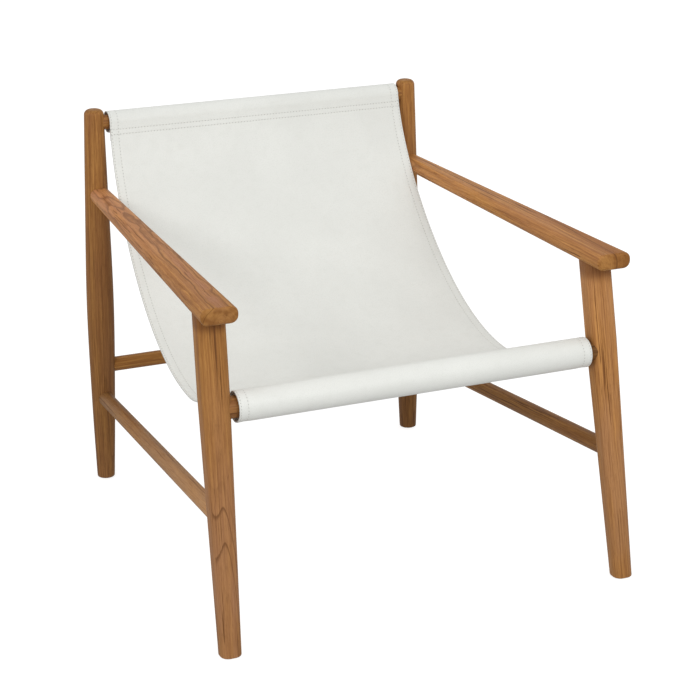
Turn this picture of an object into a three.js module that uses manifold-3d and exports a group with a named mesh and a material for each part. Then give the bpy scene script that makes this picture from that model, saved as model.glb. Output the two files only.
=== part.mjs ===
// A lounge chair with a leather sling on a turned timber frame.
// Millimetres, +Z up. The front of the chair faces -Y. Left is the -X side, as seen from the front.

import * as THREE from 'three';
import { mergeVertices, toCreasedNormals } from 'three/addons/utils/BufferGeometryUtils.js';
import Module from 'manifold-3d';

const wasm = await Module();
wasm.setup();

// Gap between two pieces that touch on the real chair.
const CLEARANCE = 0.3;

// Where the feet stand, between their centres.
const FRONT_FOOT_SPREAD = 674;
const BACK_FOOT_SPREAD = 600;
const FOOT_DEPTH = 727;

// Front legs: a rounded-square section, straight at the top and tapered below the seat rail.
const LEG_WIDTH = 45;
const LEG_DEPTH = 40;
const LEG_CORNER = 13;
const LEG_FOOT_WIDTH = 33.5;
const LEG_FOOT_DEPTH = 31.5;
const LEG_TAPER_HEIGHT = 385;
const LEG_RAKE_DEGREES = 11.1;
const LEG_SPLAY_DEGREES = 1.6;

// Back posts: turned, thickest at seat height.
const POST_HEIGHT = 669;
const POST_FOOT_DIAMETER = 31;
const POST_CALF_DIAMETER = 40.8;
const POST_CALF_HEIGHT = 145;
const POST_BELLY_DIAMETER = 47.3;
const POST_BELLY_HEIGHT = 325;
const POST_ARM_DIAMETER = 40;
const POST_TOP_DIAMETER = 33.6;
const POST_TOP_ROUND = 9;
const POST_LEAN_BACK_DEGREES = 0.8;
const POST_LEAN_IN_DEGREES = 0.68;

// The rounded edge at the bottom of every foot.
const FOOT_EDGE = 2;

// Armrests: boards from the back post over the front leg.
const ARM_HEIGHT_FRONT = 518.3;
const ARM_HEIGHT_BACK = 522.4;
const ARM_WIDTH_FRONT = 58.5;
const ARM_WIDTH_BACK = 34.4;
const ARM_THICKNESS_FRONT = 26.5;
const ARM_THICKNESS_BACK = 25.5;
const ARM_SIDE_ROUND = 11.7;
const ARM_END_ROUND = 5;
const ARM_OVERHANG = 60;
const ARM_BACK_INSET = 2.5;

// Rails inside the sleeves of the sling.
const FRONT_RAIL_DIAMETER = 39;
const FRONT_RAIL_HEIGHT = 365;
const FRONT_RAIL_TENON = 24;
const TOP_RAIL_DIAMETER = 28;
const TOP_RAIL_DROP = 24;
const TOP_RAIL_TENON = 16;

// Rails are turned down to a neck at each end. The neck starts a little way inside the sleeve.
const FRONT_RAIL_NECK_STEP = 2.5;
const TOP_RAIL_NECK_STEP = 1.5;
const RAIL_NECK_INSIDE = 9;

// Stretchers, with the heights of their axes.
const SIDE_STRETCHER_DIAMETER_BACK = 25.5;
const SIDE_STRETCHER_DIAMETER_FRONT = 27.5;
const SIDE_STRETCHER_HEIGHT_BACK = 151.5;
const SIDE_STRETCHER_HEIGHT_FRONT = 204;
const BACK_STRETCHER_DIAMETER = 25.6;
const BACK_STRETCHER_HEIGHT = 208.7;
const STRETCHER_TENON = 16;

// How far a tenon reaches past the axis of the leg that takes it.
const TENON_PAST_AXIS = 9;

// Loose dowels in the armrest joints, two to a joint.
const DOWEL_DIAMETER = 8;
const DOWEL_LENGTH = 34;
const DOWEL_CHAMFER = 1;
const DOWEL_SPACING = 16;

// Push-in glides under the feet.
const GLIDE_DIAMETER = 18;
const GLIDE_HEIGHT = 4;
const GLIDE_PROUD = 1.5;
const GLIDE_EDGE = 0.8;
const GLIDE_STEM_DIAMETER = 7;
const GLIDE_STEM_LENGTH = 14;

// The sling: one sheet with a sleeve at each end and a turned hem along each side.
const LEATHER = 2.2;
const HEM_WIDTH = 17;
const HEM_FOLD = 0.4;
const HEM_BREAK = 2;
const SEWN = 1.2;
const SLEEVE_GAP_TOP = 5.3;
const SLEEVE_GAP_FRONT = 8.3;
const SLEEVE_SEAM = 31;
const SLING_LOW_SETBACK = 233;
const SLING_LOW_HEIGHT = 294.5;
const SLING_TOP_LEAN_DEGREES = 6.5;
const SLING_FRONT_RISE_DEGREES = 34.5;
const SLING_TOP_REACH = 120;
const SLING_LOW_REACH_BACK = 222;
const SLING_LOW_REACH_FRONT = 38;
const SLING_FRONT_REACH = 71;
const SLING_WAIST = 6;
const SLING_WAIST_PLACE = 5 / 6;

// How finely round faces are cut into flats.
const POST_FLATS = 32;
const BAR_FLATS = 26;
const SMALL_FLATS = 14;
const POST_RINGS = 16;
const CORNER_STEPS = 3;
const ROUND_STEPS = 4;
const SLING_STEPS = 44;
const SLEEVE_STEPS = 13;
const SEAM_STEPS = 2;

const TEAK = { color: 0x9a6b40, roughness: 0.5, metalness: 0 };
const BEECH = { color: 0xcfae82, roughness: 0.7, metalness: 0 };
const NYLON = { color: 0x2a2624, roughness: 0.6, metalness: 0 };
const PALE_LEATHER = { color: 0xdfe0db, roughness: 0.55, metalness: 0 };

const radians = THREE.MathUtils.degToRad;
const lerp = THREE.MathUtils.lerp;
const vector = (x, y, z) => new THREE.Vector3(x, y, z);
const point = (y, z) => new THREE.Vector2(y, z);

// Axes of the left legs, as points at a height.
const legAxis = (height) => vector(
  -FRONT_FOOT_SPREAD / 2 + height * Math.tan(radians(LEG_SPLAY_DEGREES)),
  -FOOT_DEPTH / 2 + height * Math.tan(radians(LEG_RAKE_DEGREES)),
  height,
);
const postAxis = (height) => vector(
  -BACK_FOOT_SPREAD / 2 + height * Math.tan(radians(POST_LEAN_IN_DEGREES)),
  FOOT_DEPTH / 2 + height * Math.tan(radians(POST_LEAN_BACK_DEGREES)),
  height,
);
const mirrored = (p) => vector(-p.x, p.y, p.z);

const TOP_RAIL_HEIGHT = POST_HEIGHT - TOP_RAIL_DROP;

// A closed geometry as a solid for cuts and joins.
function solid(geometry) {
  const bare = geometry.clone();
  bare.deleteAttribute('normal');
  bare.deleteAttribute('uv');
  const welded = mergeVertices(bare, 1e-4);
  const corners = welded.index.array;
  const kept = [];
  for (let i = 0; i < corners.length; i += 3) {
    const [a, b, c] = corners.slice(i, i + 3);
    if (a !== b && b !== c && c !== a) {
      kept.push(a, b, c);
    }
  }
  const mesh = new wasm.Mesh({
    numProp: 3,
    vertProperties: new Float32Array(welded.attributes.position.array),
    triVerts: new Uint32Array(kept),
  });
  return new wasm.Manifold(mesh);
}

function geometryOf(body) {
  const mesh = body.getMesh();
  const geometry = new THREE.BufferGeometry();
  geometry.setAttribute('position', new THREE.BufferAttribute(mesh.vertProperties, 3));
  geometry.setIndex(new THREE.BufferAttribute(mesh.triVerts, 1));
  return geometry;
}

// The same shape on the other side of the chair.
function mirrorGeometry(geometry) {
  const other = geometry.clone().scale(-1, 1, 1);
  const corners = other.index.array;
  for (let i = 0; i < corners.length; i += 3) {
    const kept = corners[i];
    corners[i] = corners[i + 1];
    corners[i + 1] = kept;
  }
  return other;
}

const mirrorSolid = (body) => solid(mirrorGeometry(geometryOf(body)));

// A turned shape whose profile is a list of radius and height, standing on the origin.
function turned(profile, flats) {
  return new THREE.LatheGeometry(profile, flats).rotateX(Math.PI / 2);
}

// A turned shape laid from one point towards another.
function laid(geometry, from, to) {
  const direction = to.clone().sub(from).normalize();
  const turn = new THREE.Quaternion().setFromUnitVectors(vector(0, 0, 1), direction);
  return geometry.applyQuaternion(turn).translate(from.x, from.y, from.z);
}

// A round bar between two points, reaching past both of them.
function bar(from, to, startDiameter, endDiameter, past, flats) {
  const along = to.clone().sub(from).normalize().multiplyScalar(past);
  const start = from.clone().sub(along);
  const end = to.clone().add(along);
  const length = start.distanceTo(end);
  const profile = [
    point(0, 0),
    point(startDiameter / 2, 0),
    point(endDiameter / 2, length),
    point(0, length),
  ];
  return solid(laid(turned(profile, flats), start, end));
}

// A board: a rounded section is extruded in steps, and each step is moved to its own station.
// The section has corners of radius 1 about the points (1, 1), (-1, 1), (-1, -1) and (1, -1).
function board(stations, place) {
  const section = new THREE.Shape();
  section.absarc(1, 1, 1, 0, Math.PI / 2);
  section.absarc(-1, 1, 1, Math.PI / 2, Math.PI);
  section.absarc(-1, -1, 1, Math.PI, 1.5 * Math.PI);
  section.absarc(1, -1, 1, 1.5 * Math.PI, 2 * Math.PI);
  const steps = stations.length - 1;
  const geometry = new THREE.ExtrudeGeometry(section, {
    depth: steps,
    steps,
    bevelEnabled: false,
    curveSegments: CORNER_STEPS,
  });
  const position = geometry.attributes.position;
  for (let i = 0; i < position.count; i += 1) {
    const station = stations[Math.round(position.getZ(i))];
    const radius = Math.min(station.radius, 0.48 * station.width, 0.48 * station.height);
    const across = position.getX(i);
    const up = position.getY(i);
    const u = Math.sign(across) * (station.width / 2 - radius + radius * (Math.abs(across) - 1));
    const v = Math.sign(up) * (station.height / 2 - radius + radius * (Math.abs(up) - 1));
    const placed = place(station, u, v);
    position.setXYZ(i, placed.x, placed.y, placed.z);
  }
  return solid(geometry);
}

const legWidth = (height) => lerp(LEG_FOOT_WIDTH, LEG_WIDTH, Math.min(height / LEG_TAPER_HEIGHT, 1));

// The left front leg, grown on every side by the given amount.
function frontLegBody(grow) {
  const station = (height, inset) => {
    const share = Math.min(height / LEG_TAPER_HEIGHT, 1);
    return {
      at: height,
      width: legWidth(height) - 2 * inset + 2 * grow,
      height: lerp(LEG_FOOT_DEPTH, LEG_DEPTH, share) - 2 * inset + 2 * grow,
      radius: LEG_CORNER + grow,
    };
  };
  const stations = [
    station(0, FOOT_EDGE),
    station(FOOT_EDGE, 0),
    station(LEG_TAPER_HEIGHT, 0),
    station(ARM_HEIGHT_FRONT, 0),
  ];
  return board(stations, (s, u, v) => legAxis(s.at).add(vector(u, v, 0)));
}

// Radius of the back post at a height: a smooth curve through the named diameters.
const postCurve = new THREE.SplineCurve([
  point(POST_FOOT_DIAMETER / 2, 0),
  point(POST_CALF_DIAMETER / 2, POST_CALF_HEIGHT),
  point(POST_BELLY_DIAMETER / 2, POST_BELLY_HEIGHT),
  point(POST_ARM_DIAMETER / 2, ARM_HEIGHT_BACK),
  point(POST_TOP_DIAMETER / 2, POST_HEIGHT - POST_TOP_ROUND),
]);
const postOutline = postCurve.getSpacedPoints(POST_RINGS);

function postRadius(height) {
  const above = postOutline.findIndex((p) => p.y > height);
  if (above < 1) {
    return POST_TOP_DIAMETER / 2;
  }
  const low = postOutline[above - 1];
  const high = postOutline[above];
  return lerp(low.x, high.x, (height - low.y) / (high.y - low.y));
}

// The left back post, grown on every side by the given amount.
function backPostBody(grow) {
  const profile = [point(0, 0), point(postOutline[0].x - FOOT_EDGE + grow, 0)];
  profile.push(point(postRadius(FOOT_EDGE) + grow, FOOT_EDGE));
  for (const p of postOutline.slice(1)) {
    profile.push(point(p.x + grow, p.y));
  }
  const topCentre = point(POST_TOP_DIAMETER / 2 - POST_TOP_ROUND, POST_HEIGHT - POST_TOP_ROUND);
  for (let i = 1; i <= ROUND_STEPS; i += 1) {
    const angle = (i / ROUND_STEPS) * Math.PI / 2;
    const round = POST_TOP_ROUND + grow;
    profile.push(point(topCentre.x + round * Math.cos(angle), topCentre.y + round * Math.sin(angle)));
  }
  profile.push(point(0, POST_HEIGHT + grow));
  const foot = postAxis(0);
  const lean = postAxis(1).sub(foot);
  const shear = new THREE.Matrix4().set(
    1, 0, lean.x, foot.x,
    0, 1, lean.y, foot.y,
    0, 0, 1, 0,
    0, 0, 0, 1,
  );
  return solid(turned(profile, POST_FLATS).applyMatrix4(shear));
}

// The left armrest's centre line, and the armrest grown by the given amount.
const armBack = postAxis(ARM_HEIGHT_BACK).add(vector(ARM_BACK_INSET, 0, 0));
const armOverLeg = legAxis(ARM_HEIGHT_FRONT);
const armForward = armOverLeg.clone().sub(armBack).normalize();
const armLength = armBack.distanceTo(armOverLeg) + ARM_OVERHANG;

function armBody(grow) {
  const station = (at, inset) => {
    const share = at / armLength;
    return {
      at,
      width: lerp(ARM_WIDTH_BACK, ARM_WIDTH_FRONT, share) - 2 * inset + 2 * grow,
      height: lerp(ARM_THICKNESS_BACK, ARM_THICKNESS_FRONT, share) - 2 * inset + 2 * grow,
      radius: ARM_SIDE_ROUND - inset + grow,
    };
  };
  const stations = [station(0, 0)];
  for (let i = 0; i <= ROUND_STEPS; i += 1) {
    const angle = (i / ROUND_STEPS) * Math.PI / 2;
    const at = armLength - ARM_END_ROUND * (1 - Math.sin(angle)) + grow;
    stations.push(station(at, ARM_END_ROUND * (1 - Math.cos(angle))));
  }
  const place = (s, u, v) => armForward.clone().multiplyScalar(s.at).add(armBack).add(vector(u, 0, v));
  return board(stations, place);
}

// Ends of the turned bars, on the axes of the legs that take them.
const frontRailEnd = legAxis(FRONT_RAIL_HEIGHT);
const topRailEnd = postAxis(TOP_RAIL_HEIGHT);
const backStretcherEnd = postAxis(BACK_STRETCHER_HEIGHT);
const sideStretcherBack = postAxis(SIDE_STRETCHER_HEIGHT_BACK);
const sideStretcherFront = legAxis(SIDE_STRETCHER_HEIGHT_FRONT);

const legGrown = frontLegBody(CLEARANCE);
const postGrown = backPostBody(CLEARANCE);

// A turned bar with shoulders that fit the legs' faces and a round tenon at each end.
function jointedBar(from, to, startDiameter, endDiameter, tenon, fromLeg, toLeg) {
  const body = bar(from, to, startDiameter, endDiameter, 0, BAR_FLATS);
  const core = bar(from, to, tenon, tenon, TENON_PAST_AXIS, SMALL_FLATS);
  return body.subtract(fromLeg).subtract(toLeg).add(core);
}

// The bores that take the bar's tenons.
function tenonBores(from, to, tenon) {
  const bore = tenon + 2 * CLEARANCE;
  return bar(from, to, bore, bore, TENON_PAST_AXIS + CLEARANCE, SMALL_FLATS);
}

// Half the sling's width at each sleeve.
const topHalf = -topRailEnd.x - postRadius(TOP_RAIL_HEIGHT) - SLEEVE_GAP_TOP;
const frontHalf = -frontRailEnd.x - legWidth(FRONT_RAIL_HEIGHT) / 2 - SLEEVE_GAP_FRONT;

// A rail with a neck at each end, which runs from inside the sleeve to the leg.
function neckedRail(end, half, diameter, neckStep, tenon, leg) {
  const neck = diameter - 2 * neckStep;
  const shoulder = vector(RAIL_NECK_INSIDE - half, end.y, end.z);
  return jointedBar(end, mirrored(end), neck, neck, tenon, leg, mirrorSolid(leg))
    .add(bar(shoulder, mirrored(shoulder), diameter, diameter, 0, BAR_FLATS));
}

const frontRail = neckedRail(
  frontRailEnd, frontHalf, FRONT_RAIL_DIAMETER, FRONT_RAIL_NECK_STEP, FRONT_RAIL_TENON, legGrown,
);
const topRail = neckedRail(
  topRailEnd, topHalf, TOP_RAIL_DIAMETER, TOP_RAIL_NECK_STEP, TOP_RAIL_TENON, postGrown,
);
const backStretcher = jointedBar(
  backStretcherEnd, mirrored(backStretcherEnd), BACK_STRETCHER_DIAMETER, BACK_STRETCHER_DIAMETER,
  STRETCHER_TENON, postGrown, mirrorSolid(postGrown),
);
const sideStretcher = jointedBar(
  sideStretcherBack, sideStretcherFront, SIDE_STRETCHER_DIAMETER_BACK, SIDE_STRETCHER_DIAMETER_FRONT,
  STRETCHER_TENON, postGrown, legGrown,
);

// Loose dowels: one pair side by side where the armrest meets the post, one pair in a row on the leg.
function dowelPair(centre, direction, apart) {
  const half = direction.clone().multiplyScalar(DOWEL_LENGTH / 2);
  return [-0.5, 0.5].map((side) => {
    const middle = centre.clone().add(apart.clone().multiplyScalar(side * DOWEL_SPACING));
    return { from: middle.clone().sub(half), to: middle.clone().add(half) };
  });
}

const postFace = armForward.clone().multiplyScalar(postRadius(ARM_HEIGHT_BACK)).add(armBack);
const legTop = legAxis(ARM_HEIGHT_FRONT - ARM_THICKNESS_FRONT / 2);
const postDowels = dowelPair(postFace, armForward, vector(1, 0, 0));
const legDowels = dowelPair(legTop, vector(0, 0, 1), armForward);

function dowel({ from, to }) {
  const radius = DOWEL_DIAMETER / 2;
  const profile = [
    point(0, 0),
    point(radius - DOWEL_CHAMFER, 0),
    point(radius, DOWEL_CHAMFER),
    point(radius, DOWEL_LENGTH - DOWEL_CHAMFER),
    point(radius - DOWEL_CHAMFER, DOWEL_LENGTH),
    point(0, DOWEL_LENGTH),
  ];
  return solid(laid(turned(profile, SMALL_FLATS), from, to));
}

function dowelBore({ from, to }) {
  const bore = DOWEL_DIAMETER + 2 * CLEARANCE;
  return bar(from, to, bore, bore, CLEARANCE, SMALL_FLATS);
}

// A glide, and the stepped bore in the foot that takes it.
function glideBody(grow) {
  const disc = GLIDE_DIAMETER / 2 + grow;
  const stem = GLIDE_STEM_DIAMETER / 2 + grow;
  const shoulder = GLIDE_HEIGHT + grow;
  const tip = GLIDE_HEIGHT + GLIDE_STEM_LENGTH + grow;
  const profile = [
    point(0, 0),
    point(disc - GLIDE_EDGE, 0),
    point(disc, GLIDE_EDGE),
    point(disc, shoulder),
    point(stem, shoulder),
    point(stem, tip),
    point(0, tip),
  ];
  return turned(profile, SMALL_FLATS);
}

const underFoot = (geometry, foot) => solid(geometry.translate(foot.x, foot.y, -GLIDE_PROUD));

// The left legs and armrest with their bores.
let frontLeg = frontLegBody(0)
  .subtract(armBody(CLEARANCE))
  .subtract(tenonBores(frontRailEnd, mirrored(frontRailEnd), FRONT_RAIL_TENON))
  .subtract(tenonBores(sideStretcherBack, sideStretcherFront, STRETCHER_TENON))
  .subtract(underFoot(glideBody(CLEARANCE), legAxis(0)));
let backPost = backPostBody(0)
  .subtract(tenonBores(topRailEnd, mirrored(topRailEnd), TOP_RAIL_TENON))
  .subtract(tenonBores(backStretcherEnd, mirrored(backStretcherEnd), STRETCHER_TENON))
  .subtract(tenonBores(sideStretcherBack, sideStretcherFront, STRETCHER_TENON))
  .subtract(underFoot(glideBody(CLEARANCE), postAxis(0)));
let arm = armBody(0).subtract(postGrown);
for (const ends of legDowels) {
  frontLeg = frontLeg.subtract(dowelBore(ends));
  arm = arm.subtract(dowelBore(ends));
}
for (const ends of postDowels) {
  backPost = backPost.subtract(dowelBore(ends));
  arm = arm.subtract(dowelBore(ends));
}

// The sling's section, in the plane across the chair: the panel runs from the top sleeve to the front one.
const topSleeve = {
  centre: point(topRailEnd.y, topRailEnd.z),
  hole: TOP_RAIL_DIAMETER / 2 + CLEARANCE + LEATHER,
};
const frontSleeve = {
  centre: point(frontRailEnd.y, frontRailEnd.z),
  hole: FRONT_RAIL_DIAMETER / 2 + CLEARANCE + LEATHER,
};

const onSleeve = (sleeve, angle) => point(Math.cos(angle), Math.sin(angle))
  .multiplyScalar(sleeve.hole + LEATHER / 2)
  .add(sleeve.centre);
const leanTop = radians(SLING_TOP_LEAN_DEGREES);
const riseFront = radians(SLING_FRONT_RISE_DEGREES);
const panelTop = onSleeve(topSleeve, Math.PI - leanTop);
const panelFront = onSleeve(frontSleeve, Math.PI / 2 - riseFront);
const panelLow = point(frontRailEnd.y + SLING_LOW_SETBACK, SLING_LOW_HEIGHT);

const panelPath = new THREE.Path();
panelPath.moveTo(panelTop.x, panelTop.y);
panelPath.bezierCurveTo(
  panelTop.x - SLING_TOP_REACH * Math.sin(leanTop), panelTop.y - SLING_TOP_REACH * Math.cos(leanTop),
  panelLow.x + SLING_LOW_REACH_BACK, panelLow.y,
  panelLow.x, panelLow.y,
);
panelPath.bezierCurveTo(
  panelLow.x - SLING_LOW_REACH_FRONT, panelLow.y,
  panelFront.x + SLING_FRONT_REACH * Math.cos(riseFront),
  panelFront.y - SLING_FRONT_REACH * Math.sin(riseFront),
  panelFront.x, panelFront.y,
);
const panelLength = panelPath.getLength();

// Half the sling's width at any point of the section. The sheet is drawn in near the low of the seat.
const panelPoints = panelPath.getSpacedPoints(SLING_STEPS);

const drawIn = (along) => along ** 5 * (1 - along);

function halfWidth(y, z) {
  const here = point(y, z);
  let best = { distance: Infinity, along: 0 };
  for (let i = 0; i < SLING_STEPS; i += 1) {
    const step = panelPoints[i + 1].clone().sub(panelPoints[i]);
    const reach = here.clone().sub(panelPoints[i]).dot(step) / step.lengthSq();
    const share = THREE.MathUtils.clamp(reach, 0, 1);
    const distance = panelPoints[i].clone().addScaledVector(step, share).distanceTo(here);
    if (distance < best.distance) {
      best = { distance, along: (i + share) / SLING_STEPS };
    }
  }
  return lerp(topHalf, frontHalf, best.along) - SLING_WAIST * drawIn(best.along) / drawIn(SLING_WAIST_PLACE);
}

// A section extruded across the chair, from one line along the sling's edges to another.
// A line is on one side of the chair, -1 or 1, at a distance in from that edge.
function across(section, start, end) {
  const geometry = new THREE.ExtrudeGeometry(section, {
    depth: 1,
    bevelEnabled: false,
    curveSegments: SLEEVE_STEPS,
  });
  const position = geometry.attributes.position;
  for (let i = 0; i < position.count; i += 1) {
    const y = position.getX(i);
    const z = position.getY(i);
    const line = position.getZ(i) > 0.5 ? end : start;
    position.setXYZ(i, line.side * (halfWidth(y, z) - line.inset), y, z);
  }
  return solid(geometry);
}

// Points at a level above the panel's middle, between two distances from its top.
function panelLine(from, to, steps, level) {
  const line = [];
  for (let i = 0; i <= steps; i += 1) {
    const share = lerp(from, to, i / steps) / panelLength;
    const tangent = panelPath.getTangent(share);
    line.push(panelPath.getPoint(share).addScaledVector(point(tangent.y, -tangent.x), level));
  }
  return line;
}

// The outside of a sleeve, from one angle round to another.
function sleeveLine(sleeve, from, to) {
  const round = new THREE.EllipseCurve(
    sleeve.centre.x, sleeve.centre.y, sleeve.hole + LEATHER, sleeve.hole + LEATHER, from, to,
  );
  return round.getPoints(2 * SLEEVE_STEPS).slice(1, -1);
}

// Where the sleeve's end, sewn under the panel, leaves the round of the sleeve:
// its distance along the panel and its angle round the sleeve, both from where the panel leaves it.
function seamStart(sleeve) {
  const inside = sleeve.hole - LEATHER;
  const distance = Math.sqrt((sleeve.hole + LEATHER) ** 2 - inside ** 2);
  return { distance, angle: Math.atan2(distance, inside) };
}

function circle(sleeve, radius) {
  return new THREE.Path().absarc(sleeve.centre.x, sleeve.centre.y, radius, 0, 2 * Math.PI);
}

// One sheet folded round both rails, with its ends sewn under the panel.
function sheetSection() {
  const top = seamStart(topSleeve);
  const front = seamStart(frontSleeve);
  const topAngle = Math.PI - leanTop;
  const frontAngle = Math.PI / 2 - riseFront;
  const frontSeam = panelLength - SLEEVE_SEAM;
  const section = new THREE.Shape([
    ...panelLine(0, panelLength, SLING_STEPS, LEATHER / 2),
    ...sleeveLine(frontSleeve, frontAngle, frontAngle + 2 * Math.PI - front.angle),
    ...panelLine(panelLength - front.distance, frontSeam, SEAM_STEPS, -1.5 * LEATHER),
    ...panelLine(frontSeam, SLEEVE_SEAM, SLING_STEPS, -LEATHER / 2),
    ...panelLine(SLEEVE_SEAM, top.distance, SEAM_STEPS, -1.5 * LEATHER),
    ...sleeveLine(topSleeve, topAngle + top.angle, topAngle + 2 * Math.PI),
  ]);
  section.holes.push(circle(topSleeve, topSleeve.hole), circle(frontSleeve, frontSleeve.hole));
  return section;
}

// The turned edge: a second layer inside the sleeves and under the panel, sunk into the first.
function hemSections() {
  const from = SLEEVE_SEAM + HEM_BREAK;
  const to = panelLength - SLEEVE_SEAM - HEM_BREAK;
  const sections = [new THREE.Shape([
    ...panelLine(from, to, SLING_STEPS, -LEATHER / 2 + SEWN),
    ...panelLine(to, from, SLING_STEPS, -1.5 * LEATHER),
  ])];
  for (const sleeve of [topSleeve, frontSleeve]) {
    const section = new THREE.Shape(circle(sleeve, sleeve.hole + SEWN).getPoints(SLEEVE_STEPS));
    section.holes.push(circle(sleeve, sleeve.hole - LEATHER));
    sections.push(section);
  }
  return sections;
}

let sling = across(sheetSection(), { side: -1, inset: 0 }, { side: 1, inset: 0 });
for (const section of hemSections()) {
  sling = sling.add(across(section, { side: -1, inset: HEM_FOLD }, { side: -1, inset: HEM_WIDTH }));
  sling = sling.add(across(section, { side: 1, inset: HEM_WIDTH }, { side: 1, inset: HEM_FOLD }));
}

const chair = new THREE.Group();

function add(name, geometry, look) {
  const mesh = new THREE.Mesh(toCreasedNormals(geometry, radians(35)), new THREE.MeshStandardMaterial(look));
  mesh.name = name;
  chair.add(mesh);
}

function addPair(name, body, look) {
  const geometry = geometryOf(body);
  add(`${name}_left`, geometry, look);
  add(`${name}_right`, mirrorGeometry(geometry), look);
}

addPair('front_leg', frontLeg, TEAK);
addPair('back_post', backPost, TEAK);
addPair('armrest', arm, TEAK);
addPair('side_stretcher', sideStretcher, TEAK);
add('back_stretcher', geometryOf(backStretcher), TEAK);
add('front_seat_rail', geometryOf(frontRail), TEAK);
add('top_back_rail', geometryOf(topRail), TEAK);
addPair('arm_post_dowel_outer', dowel(postDowels[0]), BEECH);
addPair('arm_post_dowel_inner', dowel(postDowels[1]), BEECH);
addPair('arm_leg_dowel_back', dowel(legDowels[0]), BEECH);
addPair('arm_leg_dowel_front', dowel(legDowels[1]), BEECH);
addPair('front_glide', underFoot(glideBody(0), legAxis(0)), NYLON);
addPair('back_glide', underFoot(glideBody(0), postAxis(0)), NYLON);
add('leather_sling', geometryOf(sling), PALE_LEATHER);

// The origin is on the floor, under the middle of the chair.
const box = new THREE.Box3().setFromObject(chair);
const middle = box.getCenter(vector(0, 0, 0));
chair.position.set(-middle.x, -middle.y, -box.min.z);

export default chair;
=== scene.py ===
import bisect
import math

import bmesh
import bpy
from mathutils import Matrix, Vector
from mathutils.bvhtree import BVHTree


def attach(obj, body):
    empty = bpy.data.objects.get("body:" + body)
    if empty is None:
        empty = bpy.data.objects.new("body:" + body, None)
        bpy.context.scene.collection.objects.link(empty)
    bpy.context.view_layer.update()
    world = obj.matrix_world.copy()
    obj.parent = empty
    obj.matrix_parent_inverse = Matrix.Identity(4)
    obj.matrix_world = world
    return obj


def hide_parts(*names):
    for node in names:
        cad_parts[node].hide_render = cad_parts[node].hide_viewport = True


# A lounge chair: a pale leather sling on a turned teak frame.
# Sizes are written in millimetres and made into metres by MM. The front faces -Y and left is -X.

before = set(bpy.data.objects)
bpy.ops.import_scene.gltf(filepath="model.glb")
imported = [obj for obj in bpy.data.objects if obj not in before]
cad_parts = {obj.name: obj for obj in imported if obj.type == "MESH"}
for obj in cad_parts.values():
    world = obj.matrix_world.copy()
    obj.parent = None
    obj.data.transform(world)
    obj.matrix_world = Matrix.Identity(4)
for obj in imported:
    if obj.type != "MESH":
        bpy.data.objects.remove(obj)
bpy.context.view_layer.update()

MM = 0.001
UP = Vector((0, 0, 1))
FORWARD = Vector((0, -1, 0))
# In metres: a length that counts as nothing, and one that only a board's long edges reach.
TINY = 1e-5
LONG = 0.05

# Where the wood of the feet starts, above the floor.
GLIDE_PROUD = 1.5
# A hairline between the end of a bar and the leg that takes it.
HAIRLINE = 0.1

# The left feet on the floor, and the degrees that their axes lean inward and backward.
LEG_FOOT = dict(x=-337, y=-369.93, inward=1.6, backward=11.1)
POST_FOOT = dict(x=-300, y=357.07, inward=0.68, backward=0.8)
# A leg is cut from a blank and scribed on to the armrest. Its grain is reckoned on past its top.
LEG = dict(width=45, depth=40, corner=13, foot_width=33.5, foot_depth=31.5, taper=385, blank=480, grain=530)
POST = dict(height=669, top=33.6, round=9)
FOOT_EDGE = 2
RECESS = dict(radius=9.3, depth=4.3, margin=3.4)
ARM = dict(front=518.3, back=522.4, width_front=58.5, width_back=34.4, thick_front=26.5,
           thick_back=25.5, side_round=11.7, end_round=5, back_round=2.2, overhang=60, inset=2.5)
FRONT_RAIL = dict(diameter=39, height=365, neck_step=2.5)
TOP_RAIL = dict(diameter=28, height=645, neck_step=1.5)
# How far inside the sleeve a rail's neck starts, and the small bevel of its shoulder.
NECK_INSIDE = 9
SHOULDER_BEVEL = 0.6
# Half the width of the sling at each sleeve.
TOP_HALF = 270.1
FRONT_HALF = 296.3
SIDE_STRETCHER = dict(back=25.5, front=27.5, height_back=151.5, height_front=204)
BACK_STRETCHER = dict(diameter=25.6, height=208.7)


def slope(degrees):
    return math.tan(math.radians(degrees))


def axis_point(foot, height):
    return Vector((foot["x"] + height * slope(foot["inward"]), foot["y"] + height * slope(foot["backward"]),
                   height + GLIDE_PROUD)) * MM


def leg_axis(height):
    return axis_point(LEG_FOOT, height)


def post_axis(height):
    return axis_point(POST_FOOT, height)


def other_side(point):
    return Vector((-point.x, point.y, point.z))


def blend(a, b, share):
    return a + (b - a) * share


def ease(low, high, value):
    share = min(max((value - low) / (high - low), 0), 1)
    return share * share * (3 - 2 * share)


# Node helpers for the finishes.

def new_finish(name):
    finish = bpy.data.materials.new(name)
    finish.use_nodes = True
    tree = finish.node_tree
    tree.nodes.clear()
    shader = tree.nodes.new("ShaderNodeBsdfPrincipled")
    output = tree.nodes.new("ShaderNodeOutputMaterial")
    tree.links.new(shader.outputs["BSDF"], output.inputs["Surface"])
    return finish, tree, shader


def put(tree, socket, value):
    if isinstance(value, bpy.types.NodeSocket):
        tree.links.new(value, socket)
    else:
        socket.default_value = value


def object_place(tree):
    return tree.nodes.new("ShaderNodeTexCoord").outputs["Object"]


def split(tree, place):
    node = tree.nodes.new("ShaderNodeSeparateXYZ")
    tree.links.new(place, node.inputs["Vector"])
    return node.outputs


def attribute(tree, name):
    node = tree.nodes.new("ShaderNodeAttribute")
    node.attribute_name = name
    return node.outputs["Fac"]


def sum_of(tree, operation, *values, clamp=False):
    node = tree.nodes.new("ShaderNodeMath")
    node.operation = operation
    node.use_clamp = clamp
    for socket, value in zip(node.inputs, values):
        put(tree, socket, value)
    return node.outputs[0]


def times(tree, a, b):
    return sum_of(tree, "MULTIPLY", a, b)


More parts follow.
